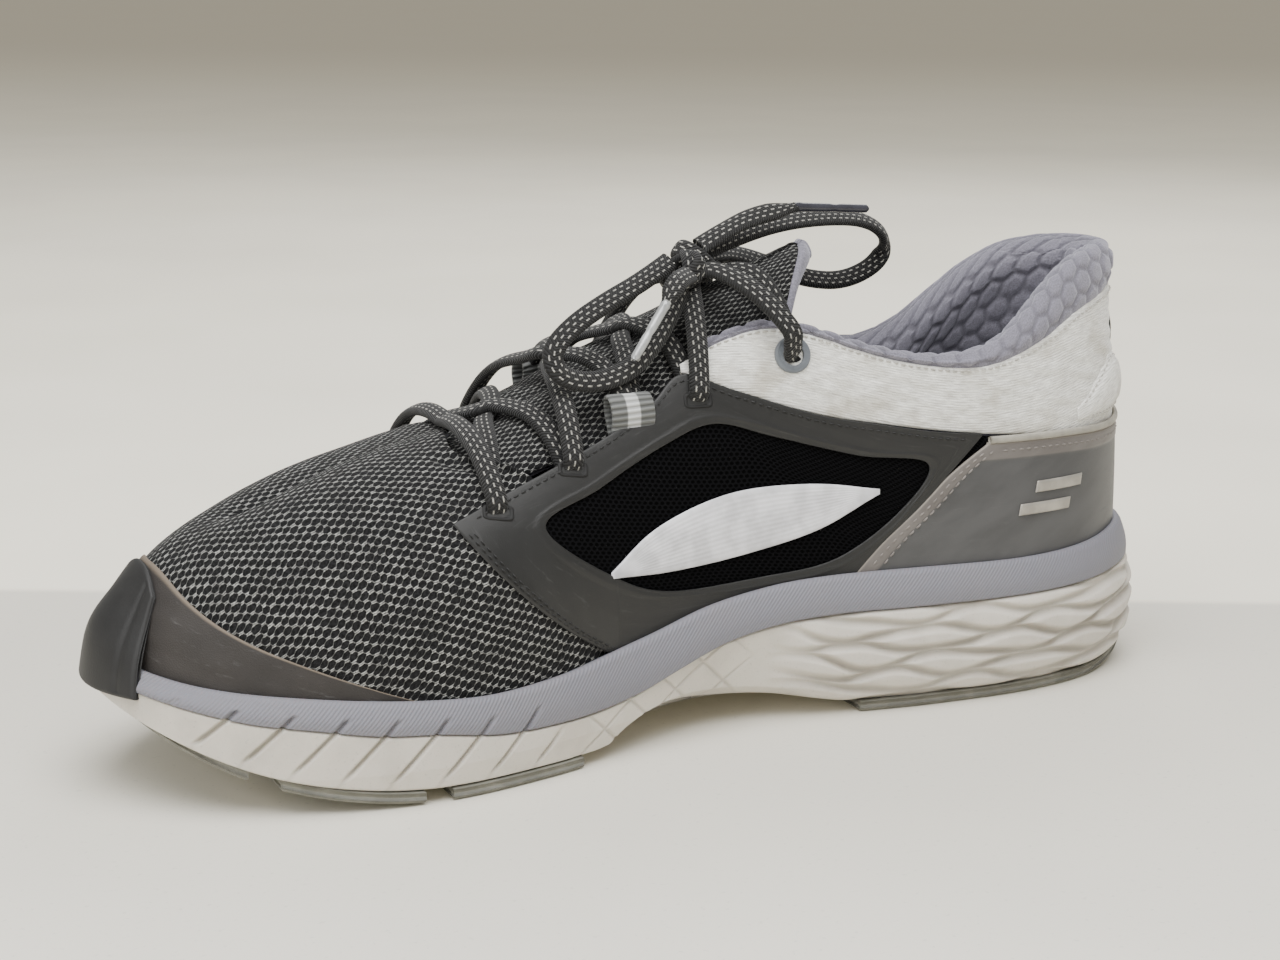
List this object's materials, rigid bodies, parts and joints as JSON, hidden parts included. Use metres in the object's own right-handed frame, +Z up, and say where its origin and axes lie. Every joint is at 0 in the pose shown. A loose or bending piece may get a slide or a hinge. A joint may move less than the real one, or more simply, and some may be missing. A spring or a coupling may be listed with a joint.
{
  "type": "running shoe",
  "caption": "Low running shoe for the right foot with a mesh upper, padded collar, tied laces, a tongue and a thick foam sole with rubber pads.",
  "frame": {"origin": "on the ground, under the middle of the shoe's length and width", "axes": "+Z up, -X towards the toe, +X towards the heel, -Y the medial side, +Y the lateral side"},
  "size_m": [0.303, 0.1106, 0.1332],
  "materials": {
    "foam_white": "matt moulded foam",
    "foam_lilac": "matt moulded foam, finely textured",
    "outsole_rubber": "matt rubber",
    "board": "stiff non-woven",
    "insole_foam": "soft foam",
    "insole_cloth": "brushed knit",
    "grey_mesh": "engineered mesh",
    "lining": "brushed knit",
    "black_mesh": "open mesh",
    "dark_film": "satin film",
    "jersey": "heather jersey with a faint sheen",
    "soft_foam": "open-cell foam",
    "collar_cloth": "embossed knit",
    "grey_film": "satin film",
    "piping": "matt",
    "toe_film": "matt film",
    "slate_rubber": "matt rubber",
    "reflective": "reflective film",
    "white_plastic": "satin, ribbed",
    "dark_webbing": "woven tape",
    "grommet": "satin",
    "webbing": "ribbed tape with a light stripe",
    "lace": "flat braid with light flecks",
    "aglet_dark": "gloss film",
    "aglet_clear": "clear gloss film"
  },
  "bodies": {
    "shoe": {"aglet_back": "aglet_dark", "aglet_front": "aglet_clear", "bow_loop_back": "lace", "bow_loop_front": "lace", "collar_foam": "soft_foam", "collar_lining": "collar_cloth", "collar_panel_lateral": "jersey", "collar_panel_medial": "jersey", "grommet_lateral": "grommet", "grommet_medial": "grommet", "heel_foxing": "grey_film", "heel_lining": "lining", "heel_patch_lateral": "jersey", "heel_patch_medial": "jersey", "heel_piping": "piping", "heel_stiffener": "board", "lace_end_back": "lace", "lace_end_front": "lace", "lace_knot": "lace", "lace_laced": "lace", "midsole": "foam_white", "midsole_deck": "foam_lilac", "outsole_forefoot_lateral": "outsole_rubber", "outsole_forefoot_medial": "outsole_rubber", "outsole_heel_lateral": "outsole_rubber", "outsole_heel_medial": "outsole_rubber", "outsole_toe": "outsole_rubber", "pull_tab": "dark_webbing", "quarter_mesh_lateral": "black_mesh", "quarter_mesh_medial": "black_mesh", "reflective_bars_lateral": "reflective", "reflective_bars_medial": "reflective", "saddle_overlay_lateral": "dark_film", "saddle_overlay_medial": "dark_film", "side_blade_lateral": "white_plastic", "side_blade_medial": "white_plastic", "strobel_board": "board", "toe_bumper": "slate_rubber", "toe_cap_overlay": "toe_film", "toe_puff": "board", "vamp_lining": "lining", "vamp_mesh": "grey_mesh", "webbing_loop_lateral": "webbing", "webbing_loop_medial": "webbing"},
    "tongue": {"tongue_mesh": "grey_mesh", "tongue_foam": "soft_foam", "tongue_lining": "collar_cloth", "tongue_binding": "collar_cloth"},
    "insole": {"insole_foam": "insole_foam", "insole_cover": "insole_cloth"}
  },
  "joints": [
    {"name": "tongue_hinge", "type": "hinge", "parent": "shoe", "child": "tongue", "pos_m": [-0.0705, 0, 0.0745], "axis": [0, 1, 0], "range_deg": [0, 7], "stiffness_Nm_per_rad": 0.3},
    {"name": "insole_lift", "type": "hinge", "parent": "shoe", "child": "insole", "pos_m": [-0.1415, 0, 0.0262], "axis": [0, -1, 0], "range_deg": [0, 5]}
  ]
}
